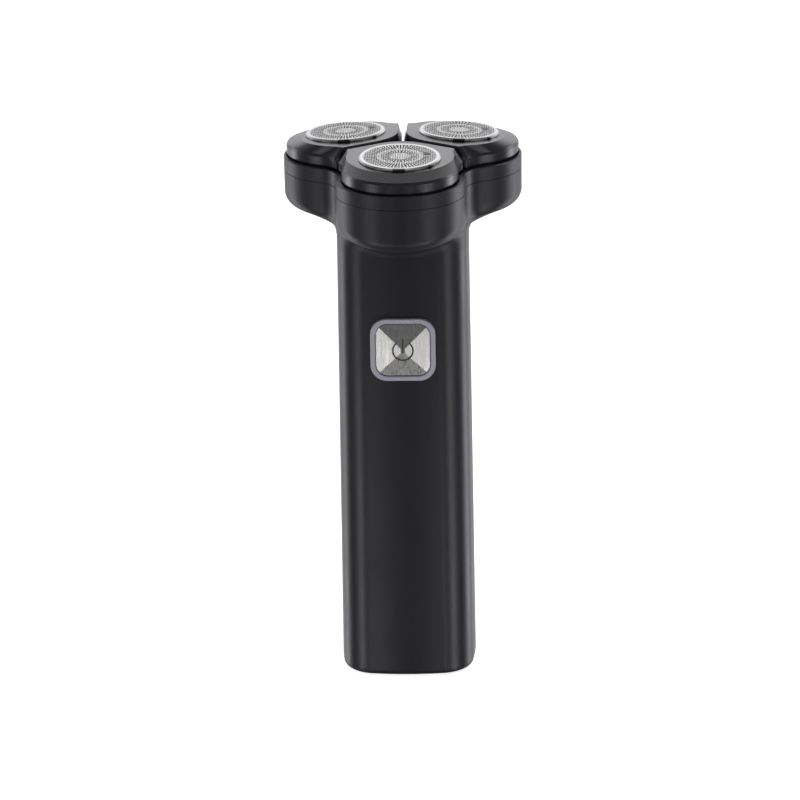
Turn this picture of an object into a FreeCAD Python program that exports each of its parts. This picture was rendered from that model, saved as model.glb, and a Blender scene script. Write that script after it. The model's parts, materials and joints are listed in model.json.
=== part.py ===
import FreeCAD, Part
import math
import os
import re

import Sketcher

# A rotary electric shaver: a square-section handle that carries a three-lobed head with three
# floating cutter pods. Millimetres. The origin is on the handle's axis at the base, +Z is up,
# and the power button and the front pod face -Y.

DIMENSIONS = [
    # handle
    ("base_half_width", 18.05),
    ("top_half_width", 17.2),
    ("side_crown", 75.0),
    ("handle_corner", 9.0),
    ("sleeve_wall", 1.6),
    ("cap_height", 1.4),
    ("cap_edge", 1.2),
    ("sleeve_top", 117.0),
    # head outline
    ("pod_distance", 16.75),
    ("lobe_radius", 16.5),
    ("crease_fillet", 8.0),
    ("rim_round", 0.22),
    ("seam_level", 133.85),
    ("rim_level", 137.6),
    # underside of the head, where it flares out of the handle
    ("flare_slope", 15.6),
    ("flare_corner", 121.6),
    ("flare_neck_round", 3.6),
    ("flare_wall_round", 3.3),
    ("flare_top", 129.0),
    ("chin_drop", 2.7),
    # gear train: module, tooth counts
    ("gear_module", 0.5),
    ("pinion_teeth", 15),
    ("gear_teeth", 52),
    ("gear_backlash", 0.12),
    ("chamber_floor", 126.2),
    ("chamber_radius", 13.9),
    ("gear_bottom", 126.9),
    ("gear_web", 2.0),
    ("pinion_bottom", 126.7),
    ("pinion_height", 2.8),
    ("gear_pin_radius", 1.0),
    ("running_gap", 0.05),
    ("cover_bottom", 131.2),
    ("cover_plate", 1.6),
    ("cover_lobe", 14.9),
    ("cover_middle", 8.9),
    ("cover_screw_reach", 10.0),
    ("cover_screw_length", 4.2),
    ("cover_screw_radius", 0.7),
    ("magnet_reach", 17.9),
    ("magnet_radius", 1.4),
    ("base_magnet_height", 1.25),
    ("frame_magnet_height", 0.75),
    ("gear_pin_depth", 2.6),
    ("gear_pin_top", 133.6),
    ("bush_radius", 3.9),
    ("bush_flange", 4.4),
    # sprung drive spindles
    ("spindle_bottom", 131.6),
    ("spindle_radius", 3.0),
    ("spindle_shoulder", 136.6),
    ("spindle_tip", 139.4),
    ("post_flats", 1.8),
    ("post_top", 133.9),
    ("tip_flats", 1.5),
    ("socket_flats", 2.0),
    # floating pods
    ("pod_pivot", 137.6),
    ("pod_lean", 3.0),
    ("pod_radius", 14.8),
    ("pod_shift", -1.1),
    ("pod_side", 14.15),
    ("pod_corner", 1.2),
    ("pod_hollow", 11.9),
    ("pod_hollow_side", 26.6),
    ("pod_nose", 11.0),
    ("pocket_gap", 0.2),
    ("pocket_overlap", 0.3),
    ("frame_floor", 0.95),
    ("frame_opening", 10.5),
    ("leaf_outer", 13.4),
    ("leaf_inner", 12.0),
    ("leaf_thickness", 0.25),
    ("leaf_arm_reach", 11.7),
    ("leaf_arm_width", 0.9),
    ("trunnion_reach", 13.85),
    ("edge_round", 0.35),
    ("edge_rise", 0.6),
    ("skirt_inset", 0.6),
    ("cavity_inset", 1.7),
    ("gimbal_inset", 2.0),
    ("gimbal_width", 1.5),
    ("skirt_bottom", 136.6),
    ("wall_bottom", 138.2),
    ("wall_top", 140.2),
    ("face_level", 142.9),
    ("face_radius", 13.7),
    ("face_shift", 2.2),
    ("face_side", 13.6),
    ("face_corner", 0.8),
    ("face_hollow", 6.3),
    ("face_hollow_side", 19.7),
    ("trunnion_radius", 0.65),
    # foil and rotating cutter
    ("foil_radius", 10.1),
    ("foil_rim", 10.42),
    ("foil_flange", 11.2),
    ("foil_bottom", 140.4),
    ("foil_top", 143.6),
    ("foil_skin", 0.35),
    ("foil_slots", 60),
    ("blade_count", 15),
    ("track_inner", 5.9),
    ("track_outer", 9.1),
    ("retainer_radius", 12.0),
    # power button
    ("button_level", 92.2),
    ("button_half", 6.95),
    ("button_corner", 3.1),
    ("ring_half", 8.4),
    ("ring_corner", 4.3),
    ("button_base", 17.75),
    ("button_rise", 0.95),
    # drive and power
    ("motor_radius", 10.2),
    ("motor_half_flat", 7.7),
    ("motor_bottom", 96.0),
    ("motor_top", 122.0),
    ("battery_radius", 7.0),
    ("battery_bottom", 24.0),
    ("battery_height", 50.0),
    ("battery_setback", 3.0),
    ("motor_screw_reach", 6.5),
    ("board_face", -10.75),
    ("board_thickness", 1.0),
    ("port_depth", -8.6),
]

LOBES = {"front": -90.0, "right": 30.0, "left": 150.0}

Vector = FreeCAD.Vector
Rotation = FreeCAD.Rotation
Placement = FreeCAD.Placement
UP = Vector(0, 0, 1)

doc = FreeCAD.newDocument("rotary_shaver")
sheet = doc.addObject("Spreadsheet::Sheet", "dims")
for row, (alias, number) in enumerate(DIMENSIONS, 1):
    sheet.set(f"A{row}", alias)
    sheet.set(f"B{row}", str(number))
    sheet.setAlias(f"B{row}", alias)
doc.recompute()

ALIASES = {alias for alias, number in DIMENSIONS}
sub_parts = []


def dim(alias):
    """The number in the sheet's cell of that name."""
    return float(getattr(sheet, alias))


def formula(text):
    """Point the words of a formula that name a dimension at the sheet's cells."""
    return re.sub(r"[a-z_]+", lambda word: ("dims." if word[0] in ALIASES else "") + word[0], str(text))


def turned(angle):
    """The unit vector in the XY plane at an angle in degrees."""
    return Vector(math.cos(math.radians(angle)), math.sin(math.radians(angle)), 0)


def pod_place(azimuth, lean=0.0):
    """Stand a pod piece on its lobe, local -Y outward, leaning about the pod's pivot."""
    pivot = Vector(0, 0, dim("pod_pivot"))
    leaning = Placement(Vector(), Rotation(Vector(1, 0, 0), lean), pivot)
    standing = Placement(turned(azimuth) * dim("pod_distance"), Rotation(UP, azimuth + 90))
    return standing.multiply(leaning)


# ---------------------------------------------------------------- sketches and features


def new_body(label, place=None):
    body = doc.addObject("PartDesign::Body", label)
    body.Label = label
    body.Placement = place or Placement()
    return body


def part(label, place=None):
    """A body that is a sub-part of its own."""
    body = new_body(label, place)
    sub_parts.append(body)
    return body


def sketch(body, level="0", plane="XY_Plane", lean=0.0):
    """A sketch at a height above one of the body's origin planes, or leaning with the pod's face."""
    made = body.newObject("Sketcher::SketchObject", body.Label + "_sketch")
    origin_plane = next(f for f in body.Origin.OriginFeatures if f.Role == plane)
    made.AttachmentSupport = [(origin_plane, "")]
    made.MapMode = "FlatFace"
    made.AttachmentOffset = Placement(Vector(), Rotation(Vector(1, 0, 0), lean))
    if lean:
        rise = f"({level} - pod_pivot)"
        made.setExpression("AttachmentOffset.Base.y", formula(f"-{rise} * sin(pod_lean * 1 deg)"))
        made.setExpression("AttachmentOffset.Base.z", formula(f"pod_pivot + {rise} * cos(pod_lean * 1 deg)"))
    else:
        made.setExpression("AttachmentOffset.Base.z", formula(level))
    return made


def drawn_size(made, kind, where):
    """What a constraint measures on the outline as it is first drawn."""
    if kind == "Radius":
        return made.Geometry[where[0]].Radius
    if kind == "DistanceX":
        return made.getPoint(where[2], where[3]).x
    if kind == "DistanceY":
        return made.getPoint(where[2], where[3]).y
    line = made.Geometry[where[-1]]
    along = (line.EndPoint - line.StartPoint).normalize()
    if kind == "Angle":
        return math.atan2(along.y, along.x)
    return abs(along.x * line.StartPoint.y - along.y * line.StartPoint.x)


def fix(made, kind, *where, size=None):
    """Add a constraint and bind its size to a formula."""
    if size is None:
        return made.addConstraint(Sketcher.Constraint(kind, *where))
    drawn = drawn_size(made, kind, where)
    index = made.addConstraint(Sketcher.Constraint(kind, *where, drawn))
    made.setExpression(f"Constraints[{index}]", formula(size))
    return index


def fix_point(made, geometry, point, x, y):
    """Hold a point of the sketch at two formulas from its origin."""
    fix(made, "DistanceX", -1, 1, geometry, point, size=x)
    fix(made, "DistanceY", -1, 1, geometry, point, size=y)


def circle(made, radius, x="0", y="0"):
    index = made.addGeometry(Part.Circle(Vector(), UP, 1.0))
    fix(made, "Radius", index, size=radius)
    fix_point(made, index, 3, x, y)


def rectangle(made, left, right, low, high):
    corners = [Vector(0, 0, 0), Vector(1, 0, 0), Vector(1, 1, 0), Vector(0, 1, 0)]
    first = made.GeometryCount
    for index, corner in enumerate(corners):
        made.addGeometry(Part.LineSegment(corner, corners[(index + 1) % 4]))
    for index in range(4):
        fix(made, "Coincident", first + index, 2, first + (index + 1) % 4, 1)
        fix(made, "Vertical" if index % 2 else "Horizontal", first + index)
    fix_point(made, first, 1, left, low)
    fix_point(made, first + 1, 2, right, high)


def ring_of_arcs(made, pieces):
    """Add arcs and lines that follow each other round a closed outline, each tangent to the next."""
    first = made.GeometryCount
    for piece in pieces:
        made.addGeometry(piece)
    ends = {}
    for index in range(len(pieces)):
        this, following = first + index, first + (index + 1) % len(pieces)
        gaps = []
        for end, start in ((1, 1), (1, 2), (2, 1), (2, 2)):
            gaps.append(((made.getPoint(this, end) - made.getPoint(following, start)).Length, end, start))
        ends[index] = (this, min(gaps)[1], following, min(gaps)[2])
    for joint in ends.values():
        fix(made, "Tangent", *joint)
    return first


def arc(centre, radius, start, end):
    return Part.ArcOfCircle(Part.Circle(centre, UP, radius), math.radians(start), math.radians(end))


def rounded_square(made, half, corner, grow=0.0):
    """A square with round corners about the button's middle, grown by an offset."""
    radius = dim(corner) + grow
    reach = dim(half) + grow - radius
    level = Vector(0, dim("button_level"), 0)
    pieces = []
    for quarter in range(4):
        centre = level + turned(90 * quarter + 45) * reach * math.sqrt(2)
        pieces.append(arc(centre, radius, 90 * quarter, 90 * quarter + 90))
        side = turned(90 * quarter + 90) * radius
        following = level + turned(90 * quarter + 135) * reach * math.sqrt(2)
        pieces.append(Part.LineSegment(centre + side, following + side))
    first = ring_of_arcs(made, pieces)
    signs = [("", "+"), ("-", "+"), ("-", "-"), ("", "-")]
    for quarter, (across, along) in enumerate(signs):
        fix(made, "Radius", first + 2 * quarter, size=f"{corner} + {grow}")
        fix_point(made, first + 2 * quarter, 3, f"{across}({half} - {corner})",
                  f"button_level {along} ({half} - {corner})")


def squircle(made, half, inset=0.0):
    """The handle's section, four crowned sides and four round corners, drawn in by an offset."""
    crown = dim("side_crown") - inset
    corner = dim("handle_corner") - inset
    back = dim("side_crown") - dim(half)
    spread = (math.sqrt(2 * (crown - corner) ** 2 - back ** 2) - back) / 2
    half_angle = math.degrees(math.atan2(spread, spread + back))
    pieces = []
    for side in range(0, 360, 90):
        pieces.append(arc(turned(side) * -back, crown, side - half_angle, side + half_angle))
        corner_centre = turned(side + 45) * spread * math.sqrt(2)
        pieces.append(arc(corner_centre, corner, side + half_angle, side + 90 - half_angle))
    first = ring_of_arcs(made, pieces)
    setback = [("-", ""), ("", "-"), ("", ""), ("", "")]
    for quarter in range(4):
        side = first + 2 * quarter
        fix(made, "Radius", side, size=f"side_crown - {inset}")
        fix(made, "Radius", side + 1, size=f"handle_corner - {inset}")
        shift = f"(side_crown - {half})"
        if quarter % 2:
            fix_point(made, side, 3, "0", shift if quarter == 3 else "-" + shift)
        else:
            fix_point(made, side, 3, shift if quarter == 2 else "-" + shift, "0")


def crease_centre():
    """Distance from the axis to the centre of the fillet between two lobes."""
    half_gap = dim("pod_distance") * math.sin(math.radians(60))
    reach = dim("lobe_radius") + dim("crease_fillet")
    return dim("pod_distance") / 2 + math.sqrt(reach ** 2 - half_gap ** 2)


def trilobe(made):
    """The head's outline: three lobes with a concave fillet in each crease between them."""
    pieces = []
    for azimuth in LOBES.values():
        lobe_centre = turned(azimuth) * dim("pod_distance")
        fillet_centre = turned(azimuth + 60) * crease_centre()
        towards = fillet_centre - lobe_centre
        spread = (math.degrees(math.atan2(towards.y, towards.x)) - azimuth) % 360
        pieces.append(arc(lobe_centre, dim("lobe_radius"), azimuth - spread, azimuth + spread))
        inward = azimuth + 60 + 180
        hollow = spread - 60
        pieces.append(arc(fillet_centre, dim("crease_fillet"), inward - hollow, inward + hollow))
    first = ring_of_arcs(made, pieces)
    for index, azimuth in enumerate(LOBES.values()):
        side = first + 2 * index
        fix(made, "Radius", side, size="lobe_radius")
        fix(made, "Radius", side + 1, size="crease_fillet")
        turn = f"({azimuth} * 1 deg)"
        fix_point(made, side, 3, f"pod_distance * cos{turn}", f"pod_distance * sin{turn}")


def pod_outline(made, kind="pod", inset=0.0, overlap=0.0):
    """A pod's outline: an outer arc that hollows out to a corner at each crease, two flat sides, a nose."""
    shift, corner, across = (dim(f"{kind}_{word}") for word in ("shift", "corner", "hollow_side"))
    radius, nose = dim(f"{kind}_radius") - inset, dim("pod_nose") - inset
    hollow = dim(f"{kind}_hollow") + inset
    side = dim(f"{kind}_side") - inset + overlap
    normal, along = turned(60), turned(-30)
    middle = Vector(0, shift, 0)
    hollow_centre = Vector(across, shift + math.sqrt((radius + hollow) ** 2 - across ** 2), 0)
    gap = hollow_centre.dot(normal) - (side - corner)
    reach = hollow_centre.dot(along) - math.sqrt((hollow + corner) ** 2 - gap ** 2)
    corner_centre = normal * (side - corner) + along * reach
    nose_centre = Vector(0, (side - nose) / normal.y, 0)
    swing = math.degrees(math.atan2(hollow_centre.y - shift, across))
    towards_corner = corner_centre - hollow_centre
    meeting = math.degrees(math.atan2(towards_corner.y, towards_corner.x)) % 360
    mirror = FreeCAD.Matrix(-1, 0, 0, 0, 0, 1, 0, 0, 0, 0, 1, 0, 0, 0, 0, 1)
    left_hollow, left_corner = mirror.multVec(hollow_centre), mirror.multVec(corner_centre)
    side_ends = [corner_centre + normal * corner, nose_centre + normal * nose]
    pieces = [
        arc(middle, radius, 180 - swing, 360 + swing),
        arc(hollow_centre, hollow, meeting, 180 + swing),
        arc(corner_centre, corner, meeting - 180, 60),
        Part.LineSegment(*side_ends),
        arc(nose_centre, nose, 60, 120),
        Part.LineSegment(*(mirror.multVec(end) for end in reversed(side_ends))),
        arc(left_corner, corner, 120, 360 - meeting),
        arc(left_hollow, hollow, -swing, 180 - meeting + 360),
    ]
    first = ring_of_arcs(made, pieces)
    fix(made, "Radius", first, size=f"{kind}_radius - {inset}")
    fix_point(made, first, 3, "0", f"{kind}_shift")
    for index, sign in ((1, ""), (7, "-")):
        fix(made, "Radius", first + index, size=f"{kind}_hollow + {inset}")
        fix(made, "DistanceX", -1, 1, first + index, 3, size=f"{sign}{kind}_hollow_side")
    for index in (2, 6):
        fix(made, "Radius", first + index, size=f"{kind}_corner")
    fix(made, "Radius", first + 4, size=f"pod_nose - {inset}")
    fix(made, "PointOnObject", first + 4, 3, -2)
    fix(made, "Distance", -1, 1, first + 3, size=f"{kind}_side - {inset} + {overlap}")
    fix(made, "Distance", -1, 1, first + 5, size=f"{kind}_side - {inset} + {overlap}")
    fix(made, "Angle", first + 3, size="150 * 1 deg")


def pad(made, height, both_ways=False):
    """Raise a sketch along its normal."""
    body = made.getParentGeoFeatureGroup()
    feature = body.newObject("PartDesign::Pad", body.Label + "_pad")
    feature.Profile = made
    feature.Midplane = both_ways
    feature.setExpression("Length", formula(height))
    return feature


def cut(made, depth, both_ways=False, downward=False):
    """Cut a sketch's outline out of its body, along its normal, and make sure that it cut."""
    body = made.getParentGeoFeatureGroup()
    doc.recompute()
    before = body.Shape.Volume
    feature = body.newObject("PartDesign::Pocket", body.Label + "_pocket")
    feature.Profile = made
    feature.Midplane = both_ways
    feature.Reversed = not downward
    feature.setExpression("Length", formula(depth))
    doc.recompute()
    if body.Shape.Volume > before - 0.001:
        raise RuntimeError(f"{feature.Name} cuts nothing from {body.Label}")
    return feature


def disc(body, level, height, radius, inner=None, lean=0.0, at=("0", "0")):
    """Add a disc or a ring to a body."""
    made = sketch(body, level, lean=lean)
    circle(made, radius, *at)
    if inner:
        circle(made, inner, *at)
    return pad(made, height)


def bore(body, level, height, radius, lean=0.0, at=("0", "0")):
    """Cut a round hole upward from a level."""
    made = sketch(body, level, lean=lean)
    circle(made, radius, *at)
    return cut(made, height)


def block(body, level, height, left, right, low, high):
    """Add a rectangular block."""
    made = sketch(body, level)
    rectangle(made, left, right, low, high)
    return pad(made, height)


def polar(body, feature, count):
    """Repeat a body's last feature round its Z axis."""
    doc.recompute()
    pattern = body.newObject("PartDesign::PolarPattern", body.Label + "_pattern")
    pattern.Originals = [feature]
    z_axis = next(f for f in body.Origin.OriginFeatures if f.Role == "Z_Axis")
    pattern.Axis = (z_axis, [""])
    pattern.Angle = 360
    pattern.setExpression("Occurrences", formula(count))
    body.Tip = pattern
    doc.recompute()
    return pattern


def soften(body, radius, chosen, kind="Fillet"):
    """Round or chamfer the edges of a body that a test picks out."""
    doc.recompute()
    tip = body.Tip
    names = [f"Edge{index}" for index, edge in enumerate(tip.Shape.Edges, 1) if chosen(edge)]
    feature = body.newObject(f"PartDesign::{kind}", f"{body.Label}_{kind.lower()}")
    feature.Base = (tip, names)
    feature.setExpression("Radius" if kind == "Fillet" else "Size", formula(radius))
    doc.recompute()
    return feature


def at_level(level):
    """A test for edges that lie flat at one height."""
    return lambda edge: abs(edge.BoundBox.ZMin - level) < 0.01 and abs(edge.BoundBox.ZMax - level) < 0.01


def on_circle(azimuth, radius):
    """Formulas for a point on a circle about the axis."""
    return (f"{radius} * cos({azimuth} * 1 deg)", f"{radius} * sin({azimuth} * 1 deg)")


def boolean(kind, label, base, *tools):
    """Fuse, or cut, whole objects. The result is a sub-part if it has a name that isn't a step."""
    made = doc.addObject(f"Part::{kind}", label)
    made.Label = label
    if kind == "Cut":
        made.Base, made.Tool = base, tools[0]
    else:
        made.Shapes = [base, *tools]
    return made


# ---------------------------------------------------------------- handle


def make_sleeve():
    """The long moulded sleeve, open at both ends, with the button's window in its front."""
    body = part("body_sleeve")
    for inset, kind in ((0.0, "AdditiveLoft"), (dim("sleeve_wall"), "SubtractiveLoft")):
        low = sketch(body, "cap_height")
        squircle(low, "base_half_width", inset)
        high = sketch(body, "sleeve_top")
        squircle(high, "top_half_width", inset)
        loft = body.newObject(f"PartDesign::{kind}", f"body_sleeve_{kind}")
        loft.Profile = low
        loft.Sections = [(high, [""])]
        doc.recompute()
    window = sketch(body, "12", plane="XZ_Plane")
    rounded_square(window, "ring_half", "ring_corner", 0.05)
    cut(window, "10")


def make_bottom_cap():
    """The end cap: a plate with a rounded edge, a rim that plugs the sleeve, and the port's slot."""
    body = part("bottom_cap")
    plate = sketch(body)
    squircle(plate, "base_half_width")
    pad(plate, "cap_height")
    soften(body, "cap_edge", at_level(0.0))
    rim = sketch(body, "cap_height")
    squircle(rim, "base_half_width", dim("sleeve_wall") + 0.05)
    squircle(rim, "base_half_width", dim("sleeve_wall") + 1.25)
    pad(rim, "2.6")
    slot = sketch(body)
    port_outline(slot, "4.6", "1.7")
    cut(slot, "cap_height")


def port_outline(made, half_width, half_height):
    """A long slot with round ends, for the charging port."""
    depth = dim("port_depth")
    reach, radius = 3.0, 1.5
    right = Vector(reach, depth, 0)
    left = Vector(-reach, depth, 0)
    rise = Vector(0, radius, 0)
    first = ring_of_arcs(made, [
        arc(right, radius, -90, 90),
        Part.LineSegment(right + rise, left + rise),
        arc(left, radius, 90, 270),
        Part.LineSegment(left - rise, right - rise),
    ])
    for index, sign in ((0, ""), (2, "-")):
        fix(made, "Radius", first + index, size=half_height)
        fix_point(made, first + index, 3, f"{sign}({half_width} - {half_height})", "port_depth")


def make_charging_port():
    """A sheet-metal socket shell, and the tongue on its insulating block."""
    shell = part("port_shell")
    outer = sketch(shell, "0.5")
    port_outline(outer, "4.47", "1.58")
    port_outline(outer, "4.17", "1.28")
    pad(outer, "7.2")
    tongue = part("port_tongue")
    seat = sketch(tongue, "6.2")
    port_outline(seat, "4.15", "1.26")
    pad(seat, "1.6")
    block(tongue, "1.7", "4.6", "-3.3", "3.3", "port_depth - 0.35", "port_depth + 0.35")


def make_circuit_board():
    """The board behind the button, with the parts soldered to it."""
    board = part("circuit_board")
    block(board, "7.9", "94", "-9", "9", "board_face - board_thickness", "board_face")
    chips = part("board_components")
    front = "board_face - board_thickness"
    sizes = [(70, 5, -6, -1, 1.2), (60, 4, 1, 6, 1.0), (50, 6, -5, 3, 1.6), (38, 3, -2, 5, 0.8)]
    for level, tall, left, right, thick in sizes:
        block(chips, level, tall, left, right, f"{front} - {thick}", front)
    switch = part("tact_switch")
    block(switch, "button_level - 2.25", "4.5", "-2.25", "2.25", f"{front} - 0.8", front)
    plunger = sketch(switch, "board_thickness + 0.8 - board_face", plane="XZ_Plane")
    circle(plunger, "0.8", "0", "button_level")
    pad(plunger, "0.3")
    leds = part("status_leds")
    for side in ("-7", "6"):
        block(leds, "button_level - 0.8", "1.6", side, f"{side} + 1", f"{front} - 0.6", front)


def make_battery():
    """A round lithium cell with a nickel strip welded to each end."""
    cell = part("battery_cell")
    disc(cell, "battery_bottom", "battery_height", "battery_radius", at=("0", "battery_setback"))
    disc(cell, "battery_bottom + battery_height", "0.8", "2.5", at=("0", "battery_setback"))
    tabs = part("battery_tabs")
    block(tabs, "battery_bottom - 0.15", "0.15", "-2", "2", "-6", "5")
    block(tabs, "battery_bottom + battery_height + 0.8", "0.15", "-2", "2", "-6", "5")


def make_inner_frame():
    """The frame inside the sleeve: a back plate and ribs that cradle the cell and the motor."""
    frame = new_body("frame_blank")
    block(frame, "5", "104", "-13", "13", "11", "12.5")
    for level in (16, 77, 107):
        block(frame, level, "2", "-13.2", "13.2", "board_face + 0.02", "12.5")
    for level in (36, 60):
        block(frame, level, "2", "-11", "11", "board_face + 0.02", "12.5")
    hollow = new_body("frame_hollow")
    disc(hollow, "battery_bottom", "battery_height + 1", "battery_radius + 0.1", at=("0", "battery_setback"))
    disc(hollow, "battery_bottom + 12", "38", "5.5", at=("0", "-4"))
    disc(hollow, "motor_bottom - 5", "40", "motor_radius + 0.05")
    framed = boolean("Cut", "inner_frame", frame, hollow)
    sub_parts.append(framed)


def make_motor():
    """A flat-sided can motor: can, plastic end bell with terminals, and two mounting screws."""
    for label, level, height, inset in (("motor_can", "motor_bottom", "motor_top - motor_bottom", 0.0),
                                        ("motor_end_bell", "motor_bottom - 2.5", "2.5", 0.3)):
        round_body = doc.addObject("Part::Cylinder", f"{label}_round")
        round_body.setExpression("Radius", formula(f"motor_radius - {inset}"))
        round_body.setExpression("Height", formula(height))
        round_body.setExpression("Placement.Base.z", formula(level))
        flats = doc.addObject("Part::Box", f"{label}_flats")
        flats.setExpression("Length", formula("2 * motor_radius"))
        flats.setExpression("Width", formula(f"2 * (motor_half_flat - {inset})"))
        flats.setExpression("Height", formula(height))
        flats.setExpression("Placement.Base.x", formula("-motor_radius"))
        flats.setExpression("Placement.Base.y", formula(f"{inset} - motor_half_flat"))
        flats.setExpression("Placement.Base.z", formula(level))
        solid = boolean("MultiCommon", f"{label}_solid", round_body, flats)
        shaft_hole = doc.addObject("Part::Cylinder", f"{label}_hole")
        shaft_hole.setExpression("Radius", formula("gear_pin_radius + running_gap"))
        shaft_hole.setExpression("Height", formula(height))
        shaft_hole.setExpression("Placement.Base.z", formula(level))
        sub_parts.append(boolean("Cut", label, solid, shaft_hole))
    screws = part("motor_screws")
    for x in ("-motor_screw_reach", "motor_screw_reach"):
        disc(screws, "motor_top", "3.2", "0.9", at=(x, "0"))
        disc(screws, "motor_top + 3.2", "0.9", "1.6", at=(x, "0"))


def make_button():
    """The power button: a light ring in the window, a steel pyramid that slides in it, and a seal."""
    ring = part("light_ring")
    for level, height, outer, inner in (("14.4", "3.75", 0.0, 0.2), ("14.4", "0.7", 1.0, 0.2)):
        outline = sketch(ring, level, plane="XZ_Plane")
        rounded_square(outline, "ring_half", "ring_corner", outer)
        rounded_square(outline, "button_half", "button_corner", inner)
        pad(outline, height)
    soften(ring, "0.3", lambda edge: edge.BoundBox.YMax < -18.1)

    prism = new_body("button_prism")
    outline = sketch(prism, "14.3", plane="XZ_Plane")
    rounded_square(outline, "button_half", "button_corner")
    pad(outline, "6")
    pyramid = doc.addObject("Part::Wedge", "button_pyramid")
    half = dim("button_half")
    pyramid.Xmin, pyramid.Xmax, pyramid.Zmin, pyramid.Zmax = -half, half, -half, half
    pyramid.X2min, pyramid.X2max, pyramid.Z2min, pyramid.Z2max = -0.6, 0.6, -0.6, 0.6
    pyramid.Ymin, pyramid.Ymax = 0.0, dim("button_rise")
    base = dim("button_base")
    pyramid.Placement = Placement(Vector(0, -base, dim("button_level")), Rotation(Vector(1, 0, 0), 180))
    stem = doc.addObject("Part::Box", "button_stem")
    stem.Length, stem.Width, stem.Height = 2 * half, base - 14.0, 2 * half
    stem.Placement = Placement(Vector(-half, -base, dim("button_level") - half), Rotation())
    faceted = boolean("MultiFuse", "button_faceted", pyramid, stem)
    capped = boolean("MultiCommon", "button_capped", prism, faceted)
    flange = new_body("button_flange")
    outline = sketch(flange, "13.9", plane="XZ_Plane")
    rounded_square(outline, "button_half", "button_corner", 0.9)
    pad(outline, "0.4")
    sub_parts.append(boolean("MultiFuse", "power_button", capped, flange))

    seal = part("button_seal")
    outline = sketch(seal, "12.9", plane="XZ_Plane")
    rounded_square(outline, "ring_half", "ring_corner", 0.6)
    pad(outline, "0.4")


# ---------------------------------------------------------------- head base and gear train


def squircle_reach(azimuth):
    """Distance from the axis to the handle's surface at the top of the sleeve."""
    crown, corner = dim("side_crown"), dim("handle_corner")
    back = crown - dim("top_half_width")
    spread = (math.sqrt(2 * (crown - corner) ** 2 - back ** 2) - back) / 2
    fold = math.radians(abs((azimuth + 45) % 90 - 45))
    side = math.sqrt(crown ** 2 - (back * math.sin(fold)) ** 2) - back * math.cos(fold)
    if side * math.sin(fold) <= spread + corner * math.sin(math.atan2(spread, spread + back)):
        return side
    along = spread * (math.cos(fold) + math.sin(fold))
    return along + math.sqrt(corner ** 2 - 2 * spread ** 2 + along ** 2)


def trilobe_reach(azimuth):
    """Distance from the axis to the lobed outline, measured from the nearest lobe and crease."""
    from_lobe = abs((azimuth + 150) % 120 - 60)
    from_crease = 60 - from_lobe
    distance, radius = dim("pod_distance"), dim("lobe_radius")
    fillet = dim("crease_fillet")
    fillet_centre = Vector(crease_centre(), 0, 0)
    touch = fillet_centre + (turned(60) * distance - fillet_centre).normalize() * fillet
    if from_crease < math.degrees(math.atan2(touch.y, touch.x)):
        across = math.radians(from_crease)
        chord = fillet ** 2 - (fillet_centre.x * math.sin(across)) ** 2
        return fillet_centre.x * math.cos(across) - math.sqrt(chord)
    across = math.radians(from_lobe)
    return distance * math.cos(across) + math.sqrt(radius ** 2 - (distance * math.sin(across)) ** 2)


def flare_inset(level):
    """How far inside the lobed wall the surface is at a height: wall, round, slope, round, neck."""
    depth = dim("pod_distance") + dim("lobe_radius") - squircle_reach(30)
    slope = math.radians(dim("flare_slope"))
    tangent = math.tan((math.pi / 2 - slope) / 2)
    neck, wall = dim("flare_neck_round"), dim("flare_wall_round")
    corner = dim("flare_corner")
    shoulder = corner + depth * math.tan(slope)
    if level <= corner - neck * tangent:
        return depth
    neck_end = corner + neck * tangent * math.sin(slope)
    if level < neck_end:
        rise = level - (corner - neck * tangent)
        return depth - (neck - math.sqrt(neck ** 2 - rise ** 2))
    wall_start = shoulder - wall * tangent * math.sin(slope)
    if level < wall_start:
        return depth - (level - corner) / math.tan(slope)
    drop = max(shoulder + wall * tangent - level, 0.0)
    return wall - math.sqrt(wall ** 2 - drop ** 2)


def chin_drop(azimuth):
    """How far the underside dips at an azimuth: the front lobe has a chin over the button."""
    off_front = abs((azimuth - LOBES["front"] + 180) % 360 - 180)
    return dim("chin_drop") * math.cos(math.radians(1.5 * off_front)) ** 3 if off_front < 60 else 0.0


def flare_section(level):
    """One closed outline of the flare, between the handle's section and the lobed one."""
    depth = dim("pod_distance") + dim("lobe_radius") - squircle_reach(30)
    azimuths = list(range(0, 360, 4))
    points = []
    for azimuth in azimuths:
        share = 1 - flare_inset(level + chin_drop(azimuth)) / depth
        narrow = squircle_reach(azimuth)
        reach = narrow + (trilobe_reach(azimuth) - narrow) * share
        points.append(turned(azimuth) * reach + UP * level)
    curve = Part.BSplineCurve()
    curve.interpolate(Points=points, Parameters=[*azimuths, 360], PeriodicFlag=True)
    return Part.Wire(curve.toShape())


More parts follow.
